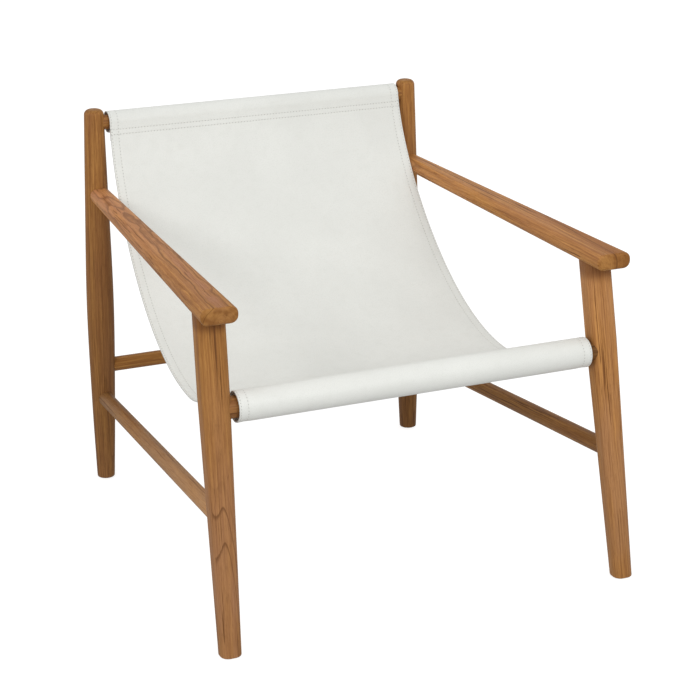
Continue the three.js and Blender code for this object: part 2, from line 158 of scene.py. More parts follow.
def vector_of(tree, operation, *values):
    node = tree.nodes.new("ShaderNodeVectorMath")
    node.operation = operation
    for socket, value in zip(node.inputs, values):
        put(tree, socket, value)
    return node.outputs["Value" if operation in ("LENGTH", "DISTANCE") else "Vector"]


def cloud(tree, place, scale=1.0, detail=2.0, roughness=0.5, colour=False):
    node = tree.nodes.new("ShaderNodeTexNoise")
    put(tree, node.inputs["Vector"], place)
    node.inputs["Scale"].default_value = scale
    node.inputs["Detail"].default_value = detail
    node.inputs["Roughness"].default_value = roughness
    return node.outputs["Color" if colour else "Fac"]


# Takes low to high smoothly into start to end, and holds still outside.
def ranged(tree, value, low, high, start=0.0, end=1.0):
    node = tree.nodes.new("ShaderNodeMapRange")
    node.interpolation_type = "SMOOTHSTEP"
    put(tree, node.inputs["Value"], value)
    for name, number in (("From Min", low), ("From Max", high), ("To Min", start), ("To Max", end)):
        node.inputs[name].default_value = number
    return node.outputs["Result"]


def tint(tree, share, a, b, way="MIX"):
    node = tree.nodes.new("ShaderNodeMix")
    node.data_type = "RGBA"
    node.blend_type = way
    put(tree, node.inputs["Factor"], share)
    put(tree, node.inputs["A"], a)
    put(tree, node.inputs["B"], b)
    return node.outputs["Result"]


def raised(tree, height, distance, strength=1.0, under=None):
    node = tree.nodes.new("ShaderNodeBump")
    node.inputs["Strength"].default_value = strength
    node.inputs["Distance"].default_value = distance
    tree.links.new(height, node.inputs["Height"])
    if under is not None:
        tree.links.new(under, node.inputs["Normal"])
    return node.outputs["Normal"]


def dress(tree, shader, colour, roughness, relief, shine=0.5):
    put(tree, shader.inputs["Base Color"], colour)
    put(tree, shader.inputs["Roughness"], roughness)
    put(tree, shader.inputs["Normal"], relief)
    shader.inputs["Specular IOR Level"].default_value = shine


# A colour as it shows on a screen, from 0 to 255, made linear.
def paint(red, green, blue):
    def linear(value):
        value = value / 255
        return value / 12.92 if value <= 0.04045 else ((value + 0.055) / 1.055) ** 2.4
    return (linear(red), linear(green), linear(blue), 1.0)


# Among these, the last colour is painted shade for the armrests' shadow on the legs, not a colour of the
# wood.
TEAK = dict(light=paint(180, 128, 66), dark=paint(138, 89, 40), rind=paint(124, 72, 30),
            end_grain=paint(124, 75, 30), late_wood=paint(84, 48, 22), line=paint(96, 58, 26),
            fibre=paint(118, 74, 36), pore=paint(70, 41, 22), painted_shade=paint(96, 52, 20))
# The end grain reaches this far round the far end of a board, in metres.
END_GRAIN_FROM = 0.001
END_GRAIN_TO = 0.006
# How much of its own figure the end grain still shows, and how bright it is.
END_FIGURE = 0.35
END_SHADE = 0.7
# A marked ring shows this much, and comes in over this height.
MARK_SHARE = 0.62
MARK_FADE = 4
# The rind's colour comes in over this width, up to this share.
RIND_WIDTH = 14
RIND_SHARE = 0.45


# Teak: long fibre streaks, growth rings about a pith that runs beside or through the board, and open pores.
# The board lies along z from start to end, with y out of its face. Pith, ring, marks, heart and rind are in
# millimetres, and runout is the pith's slant. The radii in marks are rings that stand out, where y is over
# mark_above. Wood inside the heart radius is rosier, and outside the rind radius it is darker. Pink runs from
# the board's start to its end, and so does tone, a brightness factor that holds the wood's own tone and also
# painted shade and light, such as darker post feet. Corner is painted shade where an armrest's shadow falls
# on the leg
# below: its top, foot and share.
def teak(name, start, end, face, pith, runout=(0.0, 0.0), ring=3.4, wander=2.5, curl=0.6, marks=(),
         mark_width=1.2, mark_above=-99.0, heart=0.0, rind=0.0, pink=(0.35, 0.35), blush=(154, 106, 76),
         streaks=1.0, lines=1.0, rings=1.0, tone=(1.0, 1.0), corner=None, seed=0.0):
    finish, tree, shader = new_finish(name)
    length = (end - start).length
    along = (end - start).normalized()
    side = face.cross(along).normalized()
    turn = Matrix((side, along.cross(side), along)).transposed()
    spot = object_place(tree)
    board = tree.nodes.new("ShaderNodeMapping")
    board.vector_type = "TEXTURE"
    board.inputs["Location"].default_value = start
    board.inputs["Rotation"].default_value = turn.to_euler()
    tree.links.new(spot, board.inputs["Vector"])
    away = (seed * 0.37, seed * 0.53, seed * 1.9)

    # Noise with this many cells to the metre across the board and along it.
    def stretched(place, wide, long, detail=2.0, roughness=0.5, colour=False):
        spread = vector_of(tree, "MULTIPLY", vector_of(tree, "ADD", place, away), (wide, wide, long))
        return cloud(tree, spread, detail=detail, roughness=roughness, colour=colour)

    # Moves a place across the board, by about the amount in millimetres.
    def shifted(place, wide, long, amount, detail=2.0):
        field = stretched(place, wide, long, detail, colour=True)
        middle = vector_of(tree, "SUBTRACT", field, (0.5, 0.5, 0.5))
        return vector_of(tree, "ADD", place,
                         vector_of(tree, "MULTIPLY", middle, (amount * 4 * MM, amount * 4 * MM, 0.0)))

    straight = board.outputs["Vector"]
    curled = shifted(shifted(straight, 24, 16, curl), 70, 10, min(0.3, curl / 2), 3.0)
    bent = shifted(curled, 9, 3, wander)
    parts = split(tree, bent)
    flat = tree.nodes.new("ShaderNodeCombineXYZ")
    for axis, slant, centre in zip("XY", runout, pith):
        middle = sum_of(tree, "MULTIPLY_ADD", parts["Z"], slant, centre * MM)
        tree.links.new(sum_of(tree, "SUBTRACT", parts[axis], middle), flat.inputs[axis])
    radius = vector_of(tree, "LENGTH", flat.outputs["Vector"])
    years = sum_of(tree, "DIVIDE", radius, ring * MM)
    season = sum_of(tree, "FRACT", years)
    luck = tree.nodes.new("ShaderNodeTexWhiteNoise")
    luck.noise_dimensions = "1D"
    tree.links.new(sum_of(tree, "FLOOR", years), luck.inputs["W"])
    late = times(tree, ranged(tree, season, 0.6, 0.94), ranged(tree, season, 1.0, 0.95))
    late = times(tree, late, ranged(tree, luck.outputs["Value"], 0.3, 1.0, 0.05, 0.4))

    # At the far end the fibres are cut across, so they hardly show there.
    lengthwise = ranged(tree, parts["Z"], length - END_GRAIN_FROM, length - END_GRAIN_TO, END_FIGURE, 1.0)
    late = times(tree, late, sum_of(tree, "MULTIPLY_ADD", lengthwise, 0.6 * rings, 0.4 * rings))
    for mark in marks:
        line = times(tree, ranged(tree, radius, (mark - mark_width) * MM, mark * MM),
                     ranged(tree, radius, (mark + mark_width / 3) * MM, mark * MM))
        shown = ranged(tree, parts["Y"], (mark_above - MARK_FADE) * MM, mark_above * MM, 0.0, MARK_SHARE)
        late = sum_of(tree, "MAXIMUM", late, times(tree, line, shown))
    streak = stretched(curled, 240, 4.5, 4.0, 0.65)
    thin = ranged(tree, stretched(curled, 430, 5.0, 2.0), 0.57, 0.66)
    cluster = ranged(tree, stretched(straight, 60, 3.0), 0.42, 0.6, 0.25 * lines, lines)
    thin = times(tree, thin, cluster)
    fibre = stretched(straight, 750, 26, 3.0, 0.65)
    pore = ranged(tree, stretched(straight, 2000, 75, 1.0), 0.64, 0.73)
    drift = stretched(straight, 24, 4.0)
    blotch = ranged(tree, stretched(straight, 80, 80, 1.5), 0.4, 0.7)

    def laid(share, colour, shade):
        return tint(tree, times(tree, share, lengthwise), colour, shade)

    reach = 0.2 / streaks
    colour = laid(ranged(tree, streak, 0.5 - reach, 0.5 + reach), TEAK["light"], TEAK["dark"])
    pinker = sum_of(tree, "MULTIPLY_ADD", parts["Z"], (pink[1] - pink[0]) / length, pink[0])
    rosy = times(tree, ranged(tree, drift, 0.4, 0.64, 0.3, 1.0), pinker)
    if heart:
        core = ranged(tree, radius, heart * 1.02 * MM, heart * 0.9 * MM)
        patch = ranged(tree, drift, 0.35, 0.65, 0.3, 0.85)
        rosy = sum_of(tree, "MAXIMUM", rosy, times(tree, core, patch))
    colour = laid(rosy, colour, paint(*blush))
    if rind:
        outer = ranged(tree, radius, (rind - RIND_WIDTH) * MM, rind * MM, 0.0, RIND_SHARE)
        colour = tint(tree, outer, colour, TEAK["rind"])
    crosswise = sum_of(tree, "SUBTRACT", 1.0, lengthwise)
    colour = tint(tree, times(tree, blotch, crosswise), colour, TEAK["end_grain"])
    colour = tint(tree, late, colour, TEAK["late_wood"])
    colour = laid(thin, colour, TEAK["line"])
    colour = laid(ranged(tree, fibre, 0.38, 0.7, 0.0, 0.4), colour, TEAK["fibre"])
    colour = laid(times(tree, pore, 0.4), colour, TEAK["pore"])
    # Brightness along the board: the wood's own tone together with painted shade and light, such as darker
    # post feet and the front rail's right end darkened as if in shadow.
    shade = sum_of(tree, "MULTIPLY_ADD", parts["Z"], (tone[1] - tone[0]) / length, tone[0])
    shade = times(tree, shade, sum_of(tree, "MULTIPLY_ADD", lengthwise, 1 - END_SHADE, END_SHADE))
    colour = tint(tree, 1.0, colour, shade, "MULTIPLY")
    # Painted shade: the leg just below an armrest is darkened where the arm's shadow falls.
    if corner:
        top, foot, share = corner
        painted_arm_shadow = ranged(tree, split(tree, spot)["Z"], top * MM, foot * MM, share, 0.0)
        colour = tint(tree, painted_arm_shadow, colour, TEAK["painted_shade"])
    dull = sum_of(tree, "MULTIPLY_ADD", fibre, 0.18, 0.40)
    dull = sum_of(tree, "MULTIPLY_ADD", pore, 0.2, dull, clamp=True)
    relief = sum_of(tree, "SUBTRACT", times(tree, fibre, 0.5), pore)
    dress(tree, shader, colour, dull, raised(tree, relief, 0.00010, 0.6), shine=0.15)
    return finish


# Making pieces.

# A sharper edge than this is not shaded smooth.
CREASE_ANGLE = math.radians(38)
# How far behind its vertex a scribing ray starts, in metres.
SCRIBE_RUN_UP = 0.08


def as_object(name, shape, finishes):
    mesh = bpy.data.meshes.new(name)
    shape.to_mesh(mesh)
    shape.free()
    for finish in finishes:
        mesh.materials.append(finish)
    thing = bpy.data.objects.new(name, mesh)
    bpy.context.scene.collection.objects.link(thing)
    return thing


def make_piece(name, shape, finishes, node):
    for part in shape.faces:
        part.smooth = True
    for line in shape.edges:
        if len(line.link_faces) == 2 and line.calc_face_angle() > CREASE_ANGLE:
            line.smooth = False
    piece = as_object(name, shape, finishes)
    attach(piece, "root")
    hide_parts(node)
    return piece


def flipped(shape):
    copy = shape.copy()
    bmesh.ops.scale(copy, vec=(-1, 1, 1), verts=copy.verts)
    bmesh.ops.reverse_faces(copy, faces=copy.faces)
    return copy


def round_edges(shape, edges, radius, segments):
    bmesh.ops.bevel(shape, geom=edges, offset=radius * MM, offset_type="OFFSET", segments=segments,
                    profile=0.5, affect="EDGES", material=-1)


def shell_of(shape):
    shape.normal_update()
    return BVHTree.FromBMesh(shape)


# Each vertex of an end ring slides along the piece until it meets the neighbour.
def scribe(ring, along, shell):
    for corner in ring:
        hit = shell.ray_cast(corner.co - along * SCRIBE_RUN_UP, along)[0]
        if hit is not None:
            corner.co = hit - along * HAIRLINE * MM


# The foot's bore for the glide: a ring of the sole pulled to a circle, then pushed in.
def bore_sole(shape, sole, centre):
    bmesh.ops.inset_region(shape, faces=[sole], thickness=RECESS["margin"] * MM, use_even_offset=True)
    for corner in sole.verts:
        out = corner.co - centre
        out.z = 0
        corner.co = centre + out.normalized() * RECESS["radius"] * MM
    pushed = bmesh.ops.extrude_discrete_faces(shape, faces=[sole])
    for corner in pushed["faces"][0].verts:
        corner.co.z += RECESS["depth"] * MM


# Stands an upright shape on its foot, leaning along the axis.
def stand(shape, axis, height):
    foot = axis(0)
    lean = (axis(height) - foot) / (height * MM)
    for corner in shape.verts:
        corner.co = foot + Vector((corner.co.x, corner.co.y, 0)) + lean * corner.co.z
    return lean.normalized()


# Back posts: turned, thickest at seat height.
# The turning is given as (radius, height) points that a smooth line goes through.
POST_TURNING = [(15.5, 0), (20.4, 145), (23.65, 325), (20, 522.4), (16.8, 660)]
FOOT_STEPS = 4
TURNING_STEPS = 48
CROWN_STEPS = 8
POST_SIDES = 64
BAR_SIDES = 48


def smooth_through(points, share):
    last = len(points) - 1
    step = min(int(share * last), last - 1)
    part = share * last - step
    before, low, high, after = (Vector(points[min(max(step + i, 0), last)]) for i in (-1, 0, 1, 2))
    leave = (high - before) / 2
    arrive = (after - low) / 2
    return ((2 * low - 2 * high + leave + arrive) * part ** 3
            + (3 * high - 3 * low - 2 * leave - arrive) * part ** 2 + leave * part + low)


def post_outline():
    outline = [(0, RECESS["depth"]), (RECESS["radius"], RECESS["depth"]), (RECESS["radius"], 0)]
    foot = POST_TURNING[0][0]
    for step in range(FOOT_STEPS):
        turn = step / FOOT_STEPS * math.pi / 2
        outline.append((foot - FOOT_EDGE + FOOT_EDGE * math.sin(turn), FOOT_EDGE * (1 - math.cos(turn))))
    for step in range(1, TURNING_STEPS + 1):
        outline.append(tuple(smooth_through(POST_TURNING, step / TURNING_STEPS)))
    centre = POST["top"] / 2 - POST["round"]
    for step in range(1, CROWN_STEPS + 1):
        turn = step / CROWN_STEPS * math.pi / 2
        outline.append((centre + POST["round"] * math.cos(turn),
                        POST["height"] - POST["round"] * (1 - math.sin(turn))))
    outline.append((0, POST["height"]))
    return outline


# Turns an outline of (radius, height) points about the upright axis.
def turned(outline, steps):
    shape = bmesh.new()
    line = [shape.verts.new((radius * MM, 0, height * MM)) for radius, height in outline]
    edges = [shape.edges.new(pair) for pair in zip(line, line[1:])]
    bmesh.ops.spin(shape, geom=line + edges, cent=(0, 0, 0), axis=UP, angle=2 * math.pi, steps=steps,
                   use_merge=True)
    bmesh.ops.remove_doubles(shape, verts=shape.verts, dist=1e-6)
    bmesh.ops.recalc_face_normals(shape, faces=shape.faces)
    return shape


def turned_post():
    shape = turned(post_outline(), POST_SIDES)
    stand(shape, post_axis, POST["height"])
    return shape


# Armrests: boards with rounded sides, scribed to the back post.
arm_back = post_axis(ARM["back"]) + Vector((ARM["inset"] * MM, 0, 0))
arm_forward = (leg_axis(ARM["front"]) - arm_back).normalized()
arm_length = (leg_axis(ARM["front"]) - arm_back).length + ARM["overhang"] * MM
arm_front = arm_back + arm_forward * arm_length
# The back end is first drawn this far out of the post, in metres, so that it can be scribed to it.
DRAWN_OUT = 0.04


def armrest(post_shell):
    shape = bmesh.new()
    bmesh.ops.create_cube(shape, size=1, matrix=Matrix.Translation((0, 0.5, 0)))
    for corner in shape.verts:
        share = corner.co.y
        width = blend(ARM["width_back"], ARM["width_front"], share) * MM
        thick = blend(ARM["thick_back"], ARM["thick_front"], share) * MM
        corner.co = (corner.co.x * width, share * arm_length, corner.co.z * thick)
    sides = [line for line in shape.edges if abs(line.verts[0].co.y - line.verts[1].co.y) > LONG]
    round_edges(shape, sides, ARM["side_round"], 8)
    rim = [line for line in shape.edges if min(v.co.y for v in line.verts) > arm_length - TINY]
    round_edges(shape, rim, ARM["end_round"], 5)
    rim = [line for line in shape.edges if max(v.co.y for v in line.verts) < TINY]
    round_edges(shape, rim, ARM["back_round"], 4)
    back = [corner for corner in shape.verts if corner.co.y < ARM["back_round"] * MM + TINY]
    short = [corner.co.y for corner in back]
    for corner in shape.verts:
        corner.co = arm_back + arm_forward * corner.co.y + Vector((corner.co.x, 0, corner.co.z))
    for corner in back:
        corner.co += arm_forward * DRAWN_OUT
    scribe(back, -arm_forward, post_shell)
    for corner, gap in zip(back, short):
        corner.co += arm_forward * gap
    return shape


# Front legs: a rounded-square section, tapered below the seat rail and scribed under the armrest.
def front_leg(arm_shell):
    shape = bmesh.new()
    bmesh.ops.create_cube(shape, size=1, matrix=Matrix.Translation((0, 0, 0.5)))
    bmesh.ops.scale(shape, vec=Vector((LEG["width"], LEG["depth"], LEG["blank"])) * MM, verts=shape.verts)
    bmesh.ops.bisect_plane(shape, geom=shape.verts[:] + shape.edges[:] + shape.faces[:],
                           plane_co=(0, 0, LEG["taper"] * MM), plane_no=UP)
    bmesh.ops.scale(shape, vec=(LEG["foot_width"] / LEG["width"], LEG["foot_depth"] / LEG["depth"], 1),
                    verts=[corner for corner in shape.verts if corner.co.z < TINY])
    upright = [line for line in shape.edges if abs(line.verts[0].co.z - line.verts[1].co.z) > LONG]
    round_edges(shape, upright, LEG["corner"], 7)
    sole_edge = [line for line in shape.edges if max(v.co.z for v in line.verts) < TINY]
    round_edges(shape, sole_edge, FOOT_EDGE, 3)
    sole = min(shape.faces, key=lambda part: part.calc_center_median().z)
    bore_sole(shape, sole, Vector((0, 0, 0)))
    top = [corner for corner in shape.verts if corner.co.z > LEG["blank"] * MM - 10 * TINY]
    along = stand(shape, leg_axis, LEG["blank"])
    scribe(top, along, arm_shell)
    return shape


# Round bars: a turned bar whose two end rings are scribed to the legs.
def round_bar(start, end, start_diameter, end_diameter, start_shell, end_shell):
    along = (end - start).normalized()
    middle = (start + end) / 2
    shape = bmesh.new()
    place = Matrix.Translation(middle) @ along.to_track_quat("Z", "Y").to_matrix().to_4x4()
    bmesh.ops.create_cone(shape, cap_ends=True, segments=BAR_SIDES, radius1=start_diameter / 2 * MM,
                          radius2=end_diameter / 2 * MM, depth=(end - start).length, matrix=place)
    start_ring = [corner for corner in shape.verts if (corner.co - middle).dot(along) < 0]
    end_ring = [corner for corner in shape.verts if (corner.co - middle).dot(along) > 0]
    scribe(start_ring, -along, start_shell)
    scribe(end_ring, along, end_shell)
    return shape


# Rails: turned down to a neck from a little inside the sleeve to the leg.
def necked_rail(end, half, rail, shell, other_shell):
    reach = -end.x / MM
    body = rail["diameter"] / 2
    neck = body - rail["neck_step"]
    shoulder = reach - half + NECK_INSIDE
    outline = [(0, 0), (neck, 0), (neck, shoulder), (body - SHOULDER_BEVEL, shoulder),
               (body, shoulder + SHOULDER_BEVEL)]
    outline += [(radius, 2 * reach - height) for radius, height in reversed(outline)]
    shape = turned(outline, BAR_SIDES)
    bmesh.ops.transform(shape, verts=shape.verts,
                        matrix=Matrix.Translation(end) @ Matrix.Rotation(math.pi / 2, 4, "Y"))
    along = Vector((1, 0, 0))
    scribe([corner for corner in shape.verts if corner.co.x < end.x + TINY], -along, shell)
    scribe([corner for corner in shape.verts if corner.co.x > -end.x - TINY], along, other_shell)
    return shape


left_post = turned_post()
right_post = flipped(left_post)
left_post_shell, right_post_shell = shell_of(left_post), shell_of(right_post)
left_arm = armrest(left_post_shell)
right_arm = flipped(left_arm)
left_leg = front_leg(shell_of(left_arm))
right_leg = flipped(left_leg)
left_leg_shell, right_leg_shell = shell_of(left_leg), shell_of(right_leg)

rail_end = leg_axis(FRONT_RAIL["height"])
top_end = post_axis(TOP_RAIL["height"])
stretcher_end = post_axis(BACK_STRETCHER["height"])
side_back = post_axis(SIDE_STRETCHER["height_back"])
side_front = leg_axis(SIDE_STRETCHER["height_front"])

front_rail = necked_rail(rail_end, FRONT_HALF, FRONT_RAIL, left_leg_shell, right_leg_shell)
top_rail = necked_rail(top_end, TOP_HALF, TOP_RAIL, left_post_shell, right_post_shell)
back_bar = round_bar(stretcher_end, other_side(stretcher_end), BACK_STRETCHER["diameter"],
                     BACK_STRETCHER["diameter"], left_post_shell, right_post_shell)
left_bar = round_bar(side_back, side_front, SIDE_STRETCHER["back"], SIDE_STRETCHER["front"],
                     left_post_shell, left_leg_shell)
right_bar = flipped(left_bar)

post_foot, post_top = post_axis(0), post_axis(POST["height"])
leg_foot, leg_top = leg_axis(0), leg_axis(LEG["grain"])


def timber(name, shape, start, end, face, **grain):
    make_piece(name, shape, [teak("teak_" + name, start, end, face, **grain)], name)


timber("back_post_left", left_post, post_foot, post_top, FORWARD, pith=(26, -34), lines=0.6,
       tone=(0.66, 1.0), seed=1.3)
timber("back_post_right", right_post, other_side(post_foot), other_side(post_top), FORWARD,
       pith=(-30, -28), lines=0.7, tone=(0.52, 1.12), seed=2.1)
timber("armrest_left", left_arm, arm_back, arm_front, UP, pith=(-1, -15.3), runout=(0.008, 0.0), ring=5.5,
       wander=3.0, curl=1.6, marks=(30,), heart=30, pink=(0.8, 0.3), rings=0.7, tone=(1.72, 1.1),
       seed=3.7)
timber("armrest_right", right_arm, other_side(arm_back), other_side(arm_front), UP, pith=(13, -8),
       runout=(-0.07, 0.0), ring=4.0, wander=1.5, marks=(40,), mark_width=3.0, rind=40, lines=1.3,
       tone=(1.5, 1.22), seed=4.4)
timber("front_leg_left", left_leg, leg_foot, leg_top, FORWARD, pith=(3, 13.4),
       runout=(0.0, -0.07), wander=0.4, curl=0.1, marks=(20.5, 16.2), mark_width=0.7, mark_above=13,
       pink=(1.0, 0.0), blush=(166, 120, 86), streaks=0.9, lines=0.9, rings=0.3, tone=(0.97, 1.02),
       corner=(494, 480, 0.5), seed=5.2)
timber("front_leg_right", right_leg, other_side(leg_foot), other_side(leg_top), FORWARD,
       pith=(38, -20), pink=(0.8, 0.8), blush=(160, 116, 78), streaks=1.0, lines=1.1, tone=(1.08, 1.42),
       corner=(494, 473, 0.6), seed=6.6)
timber("front_seat_rail", front_rail, rail_end, other_side(rail_end), FORWARD, pith=(30, 20),
       tone=(0.95, 0.5), seed=7.1)
timber("top_back_rail", top_rail, top_end, other_side(top_end), FORWARD, pith=(24, 20), seed=8.9)
timber("back_stretcher", back_bar, stretcher_end, other_side(stretcher_end), FORWARD, pith=(18, 26),
       pink=(0.1, 0.1), tone=(1.08, 0.95), seed=9.5)
timber("side_stretcher_left", left_bar, side_back, side_front, UP, pith=(22, -18), pink=(0.6, 0.9),
       blush=(158, 120, 82), lines=0.6, tone=(0.72, 1.4), seed=10.2)
timber("side_stretcher_right", right_bar, other_side(side_back), other_side(side_front), UP,
       pith=(-22, -18), pink=(0.1, 0.1), tone=(0.85, 0.76), seed=11.8)


# The sling. Its outline is the line that the leather's face follows in the plane across the chair:
# from the end sewn behind the back, round the top rail, down the panel, round the front rail and
# to the end sewn under the seat. Points are (y, z).

# The sleeves are reckoned in layers of LEATHER. The panel itself is thinner, and its hem is folded double.
LEATHER = 2.2
PANEL_THICK = 1.3
HEM_THICK = 2.2
HEM_WIDTH = 17
# A hair over the hem's width, where the single sheet starts on the back.
HEM_LIMIT = HEM_WIDTH + 0.2
# In a sleeve the hem swells to nearly two layers, between these distances from its side, and over the
# first and last stations of the sleeve.
SLEEVE_HEM_THICK = 2 * LEATHER - 0.05
SWELL_OUTER = (9, 12)
SWELL_INNER = (HEM_WIDTH, 15.5)
SWELL_STATIONS = (0, 6)
LAYER_GAP = 0.1
SLEEVE_SLACK = 0.3
# How far along the panel a sleeve's end is sewn on, and the rows of stitches in the seams and hems.
SEAM_END = 31
SEAM_ROWS = (12, 20.5)
HEM_ROWS = (3, 14.5)
PITCH = 5.5
# Where the back of a sleeve leaves the panel, in the middle of the sheet and at its hems.
SEAM_CORNER = 9.6
HEM_SEAM_CORNER = 16.5
TOP_CENTRE = Vector((top_end.y, top_end.z)) / MM
FRONT_CENTRE = Vector((rail_end.y, rail_end.z)) / MM
TOP_OUTER = TOP_RAIL["diameter"] / 2 + SLEEVE_SLACK + 2 * LEATHER
FRONT_OUTER = FRONT_RAIL["diameter"] / 2 + SLEEVE_SLACK + 2 * LEATHER
# How far each side is drawn in at most, and how far the middle of the panel hangs below its sides.
WAIST = 6
BELLY = 3.0
# The panel's slope where it leaves each sleeve, and the reach of the curve's handles there.
LEAN = math.radians(6.5)
RISE = math.radians(34.5)
TOP_HANDLE = 120
FRONT_HANDLE = 71
# The low of the seat, behind the front rail, and the reach of the curve's handles there.
SEAT_LOW = dict(behind=233, height=294.5, back_handle=222, front_handle=38)
PANEL_STEPS = 400


def bezier(a, b, c, d, share):
    rest = 1 - share
    return a * rest ** 3 + b * 3 * rest * rest * share + c * 3 * rest * share * share + d * share ** 3


def panel_line():
    top_out = Vector((-math.cos(LEAN), math.sin(LEAN)))
    front_out = Vector((math.sin(RISE), math.cos(RISE)))
    top = TOP_CENTRE + top_out * (TOP_OUTER - LEATHER / 2)
    front = FRONT_CENTRE + front_out * (FRONT_OUTER - LEATHER / 2)
    low = Vector((FRONT_CENTRE.x + SEAT_LOW["behind"], SEAT_LOW["height"] + GLIDE_PROUD))
    first = (top, top + Vector((-math.sin(LEAN), -math.cos(LEAN))) * TOP_HANDLE,
             low + Vector((SEAT_LOW["back_handle"], 0)), low)
    second = (low, low - Vector((SEAT_LOW["front_handle"], 0)),
              front + Vector((math.cos(RISE), -math.sin(RISE))) * FRONT_HANDLE, front)
    points = [bezier(*first, i / PANEL_STEPS) for i in range(PANEL_STEPS)]
    return points + [bezier(*second, i / PANEL_STEPS) for i in range(PANEL_STEPS + 1)]


# How far along a line each of its points is.
def travelled(points):
    reach = [0.0]
    for here, there in zip(points, points[1:]):
        reach.append(reach[-1] + (there - here).length)
    return reach


def step_at(reach, distance):
    i = min(max(bisect.bisect(reach, distance) - 1, 0), len(reach) - 2)
    return i, (distance - reach[i]) / (reach[i + 1] - reach[i])


panel_points = panel_line()
panel_reach = travelled(panel_points)
panel_length = panel_reach[-1]


# The point at a distance along the panel, and the way its face looks there.
def on_panel(distance):
    step, share = step_at(panel_reach, min(max(distance, 0), panel_length))
    point = panel_points[step].lerp(panel_points[step + 1], share)
    along = (panel_points[step + 1] - panel_points[step]).normalized()
    return point, Vector((along.y, -along.x))


# The back of a sleeve: from the corner where its end is sewn to the panel, tangent to the round.
# turn is 1 where the leather goes round with the angle growing, and -1 on the way back.
def sleeve_line(centre, outer, corner, tangent_angle, turn, steps):
    away = corner - centre
    swing = math.acos(min(outer / away.length, 1))
    start = math.atan2(away.y, away.x) + turn * swing
    sweep = (tangent_angle - start) * turn % (2 * math.pi)
    angles = [start + turn * sweep * i / steps for i in range(steps + 1)]
    return [centre + Vector((math.cos(a), math.sin(a))) * outer for a in angles]


def between(a, b, steps):
    return [a.lerp(b, i / steps) for i in range(steps)]


# The sewn end of a sleeve, behind the panel, from its cut end to its corner.
def seam_line(near, far, stack, steps):
    line = []
    for i in range(steps + 1):
        point, out = on_panel(blend(far, near, i / steps))
        line.append(point + out * (LEATHER / 2 - stack))
    return line


# Stations close together near each sleeve, for the rows of stitches, and then at even steps.
PANEL_STATIONS = [0, 2.5, 5, 7.5, 9.2, 10.4, 11.2, 12, 12.8, 13.6, 15, 16.5, 18, 19, 19.8, 20.5, 21.2, 22,
                  23.5, 26, 29, 32, 36]
EVEN_STEPS = 120
LEAF_STEPS = 8
GAP_STEPS = 5
TOP_STEPS = 44
FRONT_STEPS = 48
SLEEVE_START = LEAF_STEPS + GAP_STEPS
# The corner of a sleeve is softened this many times, and this many stations to both sides.
SOFTEN_LAPS = 3
SOFTEN_REACH = 2


def panel_stations():
    first, last = PANEL_STATIONS[-1], panel_length - PANEL_STATIONS[-1]
    even = [blend(first, last, i / EVEN_STEPS) for i in range(1, EVEN_STEPS)]
    return PANEL_STATIONS + even + [panel_length - s for s in reversed(PANEL_STATIONS)]


# The outline for a given distance of the seam's corner from the sleeve, and thickness of the sewn stack.
def sling_outline(corner, stack):
    top_leaf = seam_line(corner, SEAM_END, stack, LEAF_STEPS)
    front_leaf = seam_line(panel_length - corner, panel_length - SEAM_END, stack, LEAF_STEPS)
    top_round = sleeve_line(TOP_CENTRE, TOP_OUTER, top_leaf[-1], math.pi - LEAN, 1, TOP_STEPS)
    front_round = sleeve_line(FRONT_CENTRE, FRONT_OUTER, front_leaf[-1], math.pi / 2 - RISE, -1, FRONT_STEPS)
    panel = []
    for station in panel_stations()[1:-1]:
        point, out = on_panel(station)
        panel.append(point + out * LEATHER / 2)
    line = top_leaf[:-1] + between(top_leaf[-1], top_round[0], GAP_STEPS) + top_round
    line += panel + front_round[::-1]
    line += between(front_leaf[-1], front_round[0], GAP_STEPS)[::-1] + front_leaf[:-1][::-1]
    first, last = LEAF_STEPS - SOFTEN_REACH, SLEEVE_START + SOFTEN_REACH
    for _ in range(SOFTEN_LAPS):
        soft = [p.copy() for p in line]
        for i in range(1, len(line) - 1):
            if first <= i <= last or first <= len(line) - 1 - i <= last:
                soft[i] = (line[i - 1] + line[i] * 2 + line[i + 1]) / 4
        line = soft
    return line


middle_line = sling_outline(SEAM_CORNER, 2 * PANEL_THICK + LAYER_GAP)
edge_line = sling_outline(HEM_SEAM_CORNER, 2 * HEM_THICK + LAYER_GAP)
STATIONS = len(middle_line)
PANEL_FIRST = SLEEVE_START + TOP_STEPS
SLEEVE_END = STATIONS - 1 - SLEEVE_START
PANEL_LAST = SLEEVE_END - FRONT_STEPS
# How far along the sheet each station is, from the start of the panel.
run = travelled(middle_line)
run = [r - run[PANEL_FIRST] for r in run]


def facing(line, i):
    along = (line[min(i + 1, STATIONS - 1)] - line[max(i - 1, 0)]).normalized()
    return Vector((along.y, -along.x))


middle_out = [facing(middle_line, i) for i in range(STATIONS)]
edge_out = [facing(edge_line, i) for i in range(STATIONS)]


# The sheet is drawn in near the low of the seat, the most at this share of the panel.
MOST_DRAWN = 5 / 6


def draw_in(share):
    return share ** 5 * (1 - share)


def half_width(i):
    if i < LEAF_STEPS:
        share = SEAM_END * (1 - i / LEAF_STEPS) / panel_length
    elif i > STATIONS - 1 - LEAF_STEPS:
        share = 1 - SEAM_END * (1 - (STATIONS - 1 - i) / LEAF_STEPS) / panel_length
    else:
        share = min(max(run[i] / panel_length, 0), 1)
    return blend(TOP_HALF, FRONT_HALF, share) - WAIST * draw_in(share) / draw_in(MOST_DRAWN)


# The face dips along a row of stitches.
STITCH_DIP = 0.10
# Between these distances from its edge the sheet goes from the hem's outline to the middle's.
HEM_BLEND = (3, 22)


def dip(distance, rows):
    return STITCH_DIP * sum(math.exp(-(distance - row) ** 2) for row in rows)


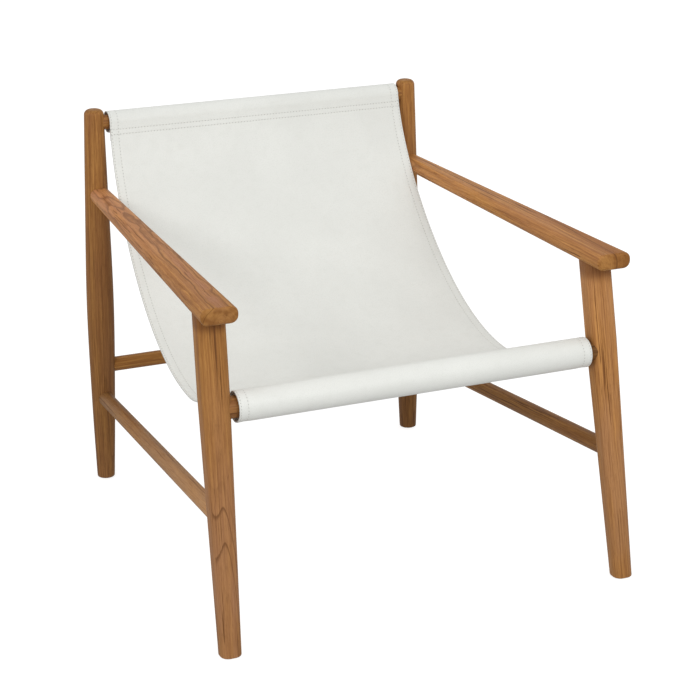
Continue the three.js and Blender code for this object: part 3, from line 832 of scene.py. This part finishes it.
# The point at station i and width x, at a depth below the face. Edge is the distance from the sheet's side.
def on_leather(i, x, edge, depth):
    share = 1 - ease(*HEM_BLEND, edge)
    place = middle_line[i].lerp(edge_line[i], share)
    out = middle_out[i].lerp(edge_out[i], share).normalized()
    sag = 0.0
    if PANEL_FIRST < i < PANEL_LAST:
        travel = run[i] / panel_length
        sag = BELLY * math.sin(math.pi * travel) ** 2 * (1 - (x / half_width(i)) ** 2)
    place = place - out * (depth + sag)
    return Vector((x, place.x, place.y)) * MM


def seam_distance(i):
    if PANEL_FIRST <= i <= PANEL_LAST:
        return min(run[i], panel_length - run[i])
    return math.inf


def leather_depth(i, edge):
    if edge > HEM_LIMIT:
        return PANEL_THICK
    thick = HEM_THICK
    if SLEEVE_START < i < PANEL_FIRST or PANEL_LAST < i < SLEEVE_END:
        ends = min(abs(i - station) for station in (SLEEVE_START, PANEL_FIRST, SLEEVE_END, PANEL_LAST))
        swell = ease(*SWELL_OUTER, edge) * ease(*SWELL_INNER, edge) * ease(*SWELL_STATIONS, ends)
        thick += (SLEEVE_HEM_THICK - HEM_THICK) * swell
    return thick


# The columns of the sheet: distances from its side near a hem, on the face and on the back, shares of the
# width between the hems, and steps round the fold.
FACE_EDGES = [1.9, 2.4, 3.0, 3.6, 4.3, 6.5, 10, 12.8, 13.7, 14.5, 15.3, 16.2, 17.2, 19, 24]
BACK_EDGES = [1.9, 3.0, 4.2, 5.5, 7, 10, 13.2, 14.5, 15.6, 16.4, 17.0, 17.3, 19, 24]
MIDDLE_STEPS = 30
MIDDLE = [-1 + 2 * k / MIDDLE_STEPS for k in range(1, MIDDLE_STEPS)]
FOLD_STEPS = 7


# All columns, once round the sheet's section: face, right edge, back, left edge.
def sheet_columns():
    turn = [math.pi * k / FOLD_STEPS for k in range(FOLD_STEPS + 1)]
    stretches = [("face", -1, FACE_EDGES), ("face", 0, MIDDLE), ("face", 1, FACE_EDGES[::-1]),
                 ("fold", 1, turn), ("back", 1, BACK_EDGES), ("back", 0, MIDDLE[::-1]),
                 ("back", -1, BACK_EDGES[::-1]), ("fold", -1, turn[::-1])]
    return [(kind, side, where) for kind, side, places in stretches for where in places]


def sheet_point(i, column):
    kind, side, where = column
    half = half_width(i)
    if kind == "fold":
        edge = HEM_THICK / 2 * (1 - math.sin(where))
        depth = HEM_THICK / 2 * (1 - math.cos(where))
        return on_leather(i, side * (half - edge), edge, depth), edge
    if side == 0:
        x = where * (half - FACE_EDGES[-1])
        edge = half - abs(x)
    else:
        edge = where
        x = side * (half - edge)
    if kind == "back":
        return on_leather(i, x, edge, leather_depth(i, edge)), edge
    depth = dip(edge, HEM_ROWS) + dip(seam_distance(i), SEAM_ROWS)
    return on_leather(i, x, edge, depth), edge


# A grid of stations and columns, wrapped round and closed at both ends. The flesh side has its own finish.
def sling():
    columns = sheet_columns()
    count = len(columns)
    shape = bmesh.new()
    bmesh.ops.create_grid(shape, x_segments=count, y_segments=STATIONS - 1, size=1)
    shape.verts.ensure_lookup_table()
    edge_mark = shape.verts.layers.float.new("edge")
    run_mark = shape.verts.layers.float.new("run")
    for corner in shape.verts:
        column = round((corner.co.x + 1) / 2 * count) % count
        i = round((corner.co.y + 1) / 2 * (STATIONS - 1))
        place, edge = sheet_point(i, columns[column])
        corner.co = place
        corner[edge_mark] = edge * MM
        corner[run_mark] = run[i] * MM
        corner.index = column
    for part in shape.faces:
        kinds = [columns[corner.index] for corner in part.verts]
        if all(kind == "back" and (side == 0 or where > HEM_LIMIT) for kind, side, where in kinds):
            part.material_index = 1
    bmesh.ops.remove_doubles(shape, verts=shape.verts, dist=1e-7)
    ends = [line for line in shape.edges if len(line.link_faces) == 1]
    bmesh.ops.holes_fill(shape, edges=ends)
    bmesh.ops.recalc_face_normals(shape, faces=shape.faces)
    return shape


def sewn_point(distance, x_of, edge, depth_of):
    i, share = step_at(run, distance)
    first = on_leather(i, x_of(i), edge, depth_of(i))
    second = on_leather(i + 1, x_of(i + 1), edge, depth_of(i + 1))
    return first.lerp(second, share)


# A stitch's half width and half height, in metres.
STITCH_WIDE = 0.00042
STITCH_HIGH = 0.00034
# A stitch stops this far short of its needle holes, and a row this far from the sheet's sides and ends.
STITCH_SHORT = 0.55
ROW_MARGIN = 4
# How deep a stitch lies on the face and on the back.
FACE_SINK = 0.10
BACK_SINK = 0.05


# One stitch of thread, of length 2 about the origin.
def plain_stitch():
    shape = bmesh.new()
    bmesh.ops.create_uvsphere(shape, u_segments=6, v_segments=5, radius=1)
    for part in shape.faces:
        part.smooth = True
    mesh = bpy.data.meshes.new("stitch")
    shape.to_mesh(mesh)
    shape.free()
    return mesh


stitch = plain_stitch()


def add_stitch(row, start, end, out):
    along = (end - start).normalized()
    side = out.cross(along).normalized()
    turn = Matrix((side, along.cross(side), along)).transposed().to_4x4()
    size = Matrix.Diagonal((STITCH_WIDE, STITCH_HIGH, (end - start).length / 2, 1))
    laid = stitch.copy()
    laid.transform(Matrix.Translation((start + end) / 2) @ turn @ size)
    row.from_mesh(laid)
    bpy.data.meshes.remove(laid)


# A stitch runs between needle holes one pitch apart. On the back the sleeves' hems have none.
def hem_stitches(back):
    row = bmesh.new()
    first = math.ceil((run[0] + ROW_MARGIN) / PITCH)
    last = math.floor((run[-1] - ROW_MARGIN) / PITCH)
    for side in (-1, 1):
        for edge in HEM_ROWS:
            def across(i):
                return side * (half_width(i) - edge)

            def sunk(i):
                return leather_depth(i, edge) + BACK_SINK if back else FACE_SINK

            def proud(i):
                return leather_depth(i, edge) + 1 if back else -1

            for k in range(first, last):
                middle = (k + 0.5) * PITCH
                if back and not 0 <= middle <= panel_length:
                    continue
                start = sewn_point(k * PITCH + STITCH_SHORT, across, edge, sunk)
                end = sewn_point((k + 1) * PITCH - STITCH_SHORT, across, edge, sunk)
                out = sewn_point(middle, across, edge, proud) - sewn_point(middle, across, edge, sunk)
                add_stitch(row, start, end, out)
    return row


PANEL_ROWS = [*SEAM_ROWS, *(panel_length - row for row in SEAM_ROWS)]


def seam_stitches():
    row = bmesh.new()
    for distance in PANEL_ROWS:
        for back in (False, True):
            at = distance
            if back:
                close = min(distance, panel_length - distance)
                at = run[0] + SEAM_END - close if close == distance else run[-1] - SEAM_END + close
            i, share = step_at(run, at)
            half = blend(half_width(i), half_width(i + 1), share)
            count = int((half - ROW_MARGIN) / PITCH)
            for k in range(-count, count):
                ends = []
                for x in (k * PITCH + STITCH_SHORT, (k + 1) * PITCH - STITCH_SHORT):
                    ends.append(sewn_point(at, lambda station: x, half - abs(x), lambda station: FACE_SINK))
                middle = (k + 0.5) * PITCH
                lifted = sewn_point(at, lambda station: middle, half - abs(middle), lambda station: -1)
                add_stitch(row, ends[0], ends[1], lifted - (ends[0] + ends[1]) / 2)
    return row


# In metres: the outer and inner radius of a needle hole, and how near its side the sheet's rim gets painted
# shade.
HOLE = (0.00095, 0.00055)
RIM_SHADE = (0.0011, 0.0004)


# A needle hole at each end of every stitch.
def hole_mask(tree, place):
    def nearest(value, rows):
        gaps = [sum_of(tree, "ABSOLUTE", sum_of(tree, "SUBTRACT", value, row * MM)) for row in rows]
        best = gaps[0]
        for gap in gaps[1:]:
            best = sum_of(tree, "MINIMUM", best, gap)
        return best

    def to_hole(value):
        share = sum_of(tree, "FRACT", sum_of(tree, "ADD", sum_of(tree, "DIVIDE", value, PITCH * MM), 0.5))
        return times(tree, sum_of(tree, "SUBTRACT", share, 0.5), PITCH * MM)

    def hole(off_row, along):
        spot = tree.nodes.new("ShaderNodeCombineXYZ")
        tree.links.new(off_row, spot.inputs["X"])
        tree.links.new(along, spot.inputs["Y"])
        return ranged(tree, vector_of(tree, "LENGTH", spot.outputs["Vector"]), *HOLE)

    travel = attribute(tree, "run")
    hems = hole(nearest(attribute(tree, "edge"), HEM_ROWS), to_hole(travel))
    seams = hole(nearest(travel, PANEL_ROWS), to_hole(split(tree, place)["X"]))
    return sum_of(tree, "MAXIMUM", hems, seams)


# Leather: fine pebbled grain, faint clouding, and the holes.
def leather_face():
    finish, tree, shader = new_finish("pale_leather")
    place = object_place(tree)
    clouding = cloud(tree, place, 9, 3)
    mottle = cloud(tree, place, 70, 3)
    pebble = tree.nodes.new("ShaderNodeTexVoronoi")
    pebble.feature = "SMOOTH_F1"
    pebble.inputs["Scale"].default_value = 780
    pebble.inputs["Smoothness"].default_value = 0.6
    tree.links.new(place, pebble.inputs["Vector"])
    crease = cloud(tree, place, 260, 4, 0.6)
    holes = hole_mask(tree, place)
    colour = tint(tree, ranged(tree, clouding, 0.3, 0.7), paint(222, 223, 218), paint(226, 227, 222))
    colour = tint(tree, ranged(tree, mottle, 0.45, 0.75, 0.0, 0.2), colour, paint(214, 215, 209))
    colour = tint(tree, ranged(tree, pebble.outputs["Distance"], 0.45, 0.75, 0.0, 0.25), colour,
                  paint(205, 206, 200))
    # Painted shade: the needle holes are darkened for the shadow inside them.
    colour = tint(tree, times(tree, holes, 0.45), colour, paint(110, 108, 102))
    # Painted shade: a grey line along the sheet's rim, for its edge turned away from the light.
    rim = ranged(tree, attribute(tree, "edge"), *RIM_SHADE, 0.0, 0.7)
    colour = tint(tree, rim, colour, paint(178, 178, 174))
    fine = sum_of(tree, "MULTIPLY_ADD", crease, 0.6, pebble.outputs["Distance"])
    grain = raised(tree, times(tree, fine, -1), 0.00009, 0.55)
    dents = raised(tree, times(tree, holes, -1), 0.0006, 0.8, grain)
    dress(tree, shader, colour, ranged(tree, mottle, 0.3, 0.7, 0.42, 0.55), dents, shine=0.45)
    return finish


# The flesh side: a short matt nap.
def leather_back():
    finish, tree, shader = new_finish("leather_flesh_side")
    place = object_place(tree)
    nap = cloud(tree, place, 900, 4, 0.7)
    patch = cloud(tree, place, 30, 3)
    colour = tint(tree, ranged(tree, patch, 0.3, 0.7), paint(199, 192, 178), paint(204, 198, 186))
    colour = tint(tree, ranged(tree, nap, 0.3, 0.7, 0.0, 0.4), colour, paint(180, 171, 156))
    dress(tree, shader, colour, 0.9, raised(tree, nap, 0.0002, 0.7), shine=0.2)
    return finish


# Thread, dowels and glides: two shades mixed by one noise, which is also their relief.
def speckled(name, cells, detail, roughness, mix, shades, dull, strength):
    finish, tree, shader = new_finish(name)
    place = vector_of(tree, "MULTIPLY", object_place(tree), cells)
    fleck = cloud(tree, place, detail=detail, roughness=roughness)
    light, dark = shades
    colour = tint(tree, ranged(tree, fleck, *mix), paint(*light), paint(*dark))
    dress(tree, shader, colour, ranged(tree, fleck, 0.3, 0.7, *dull), raised(tree, fleck, 0.0001, strength))
    return finish


seat = make_piece("sling_leather", sling(), [leather_face(), leather_back()], "leather_sling")
thread_finish = speckled("sewing_thread", cells=(2400, 2400, 2400), detail=2, roughness=0.5, mix=(0.35, 0.65),
                         shades=((229, 229, 223), (214, 214, 207)), dull=(0.6, 0.6), strength=0.6)


def sew_on(name, stitches):
    piece = as_object(name, stitches, [thread_finish])
    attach(piece, "root")
    return piece


hem_face = sew_on("hem_stitching_face", hem_stitches(False))
hem_back = sew_on("hem_stitching_back", hem_stitches(True))
seam_thread = sew_on("sleeve_seam_stitching", seam_stitches())

# The hidden dowels and the glides keep their solids.
beech_finish = speckled("dowel_beech", cells=(900, 900, 300), detail=3, roughness=0.5, mix=(0.35, 0.7),
                        shades=((205, 170, 125), (176, 138, 94)), dull=(0.7, 0.7), strength=0.5)
nylon_finish = speckled("glide_nylon", cells=(500, 500, 500), detail=4, roughness=0.6, mix=(0.4, 0.7),
                        shades=((44, 39, 36), (66, 60, 55)), dull=(0.42, 0.62), strength=0.4)
for name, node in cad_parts.items():
    if "dowel" in name or "glide" in name:
        node.data.materials.clear()
        node.data.materials.append(beech_finish if "dowel" in name else nylon_finish)


# Floor, light and camera, in metres and degrees.
LIGHT_AIM = Vector((0, 0, 0.4))
# The studio's walls: the slope of a look down and of one up, and how bright the walls are there.
WALLS = (-0.35, 0.45, 0.58, 0.84)
CAMERA_DOWN = 19.743
CAMERA_TURN = -23.797
# The focal length and the picture's width, in picture points.
FOCAL_POINTS = 2091.76
PICTURE_POINTS = 700
SENSOR = 36


# A floor that is nearly white in itself, so that shadows on it are faint. It throws no light on the chair.
def studio_floor():
    shape = bmesh.new()
    bmesh.ops.create_grid(shape, x_segments=1, y_segments=1, size=14)
    finish, _, shader = new_finish("pale_floor")
    shader.inputs["Base Color"].default_value = (0.35, 0.35, 0.35, 1)
    shader.inputs["Roughness"].default_value = 0.9
    shader.inputs["Specular IOR Level"].default_value = 0.0
    shader.inputs["Emission Color"].default_value = (1, 1, 1, 1)
    shader.inputs["Emission Strength"].default_value = 0.82
    floor = as_object("floor", shape, [finish])
    floor.visible_diffuse = False
    floor.visible_glossy = False


def softbox(name, place, width, power):
    light = bpy.data.lights.new(name, "AREA")
    light.shape = "RECTANGLE"
    light.size = width
    light.size_y = width
    light.energy = power
    lamp = bpy.data.objects.new(name, light)
    lamp.location = place
    lamp.rotation_euler = (LIGHT_AIM - Vector(place)).to_track_quat("-Z", "Y").to_euler()
    bpy.context.scene.collection.objects.link(lamp)


studio_floor()
softbox("softbox_left", (-3.2, -2.4, 2.2), width=1.2, power=38)
softbox("softbox_key", (0.4, -3.4, 2.1), width=1.4, power=30)


# The walls of the studio, lit nearly evenly.
def studio_walls():
    world = bpy.data.worlds.new("studio")
    world.use_nodes = True
    tree = world.node_tree
    heading = tree.nodes.new("ShaderNodeTexCoord").outputs["Generated"]
    backdrop = tree.nodes["Background"]
    backdrop.inputs["Color"].default_value = (1, 1, 1, 1)
    tree.links.new(ranged(tree, split(tree, heading)["Z"], *WALLS), backdrop.inputs["Strength"])
    return world


bpy.context.scene.world = studio_walls()
bpy.context.scene.view_settings.view_transform = "Standard"

lens = bpy.data.cameras.new("camera")
lens.sensor_width = SENSOR
lens.sensor_fit = "HORIZONTAL"
lens.lens = FOCAL_POINTS / PICTURE_POINTS * SENSOR
lens.clip_end = 60
camera = bpy.data.objects.new("camera", lens)
camera.location = (-1.2978, -2.99273, 1.4851)
camera.rotation_euler = (math.radians(90 - CAMERA_DOWN), 0, math.radians(CAMERA_TURN))
bpy.context.scene.collection.objects.link(camera)
bpy.context.scene.camera = camera
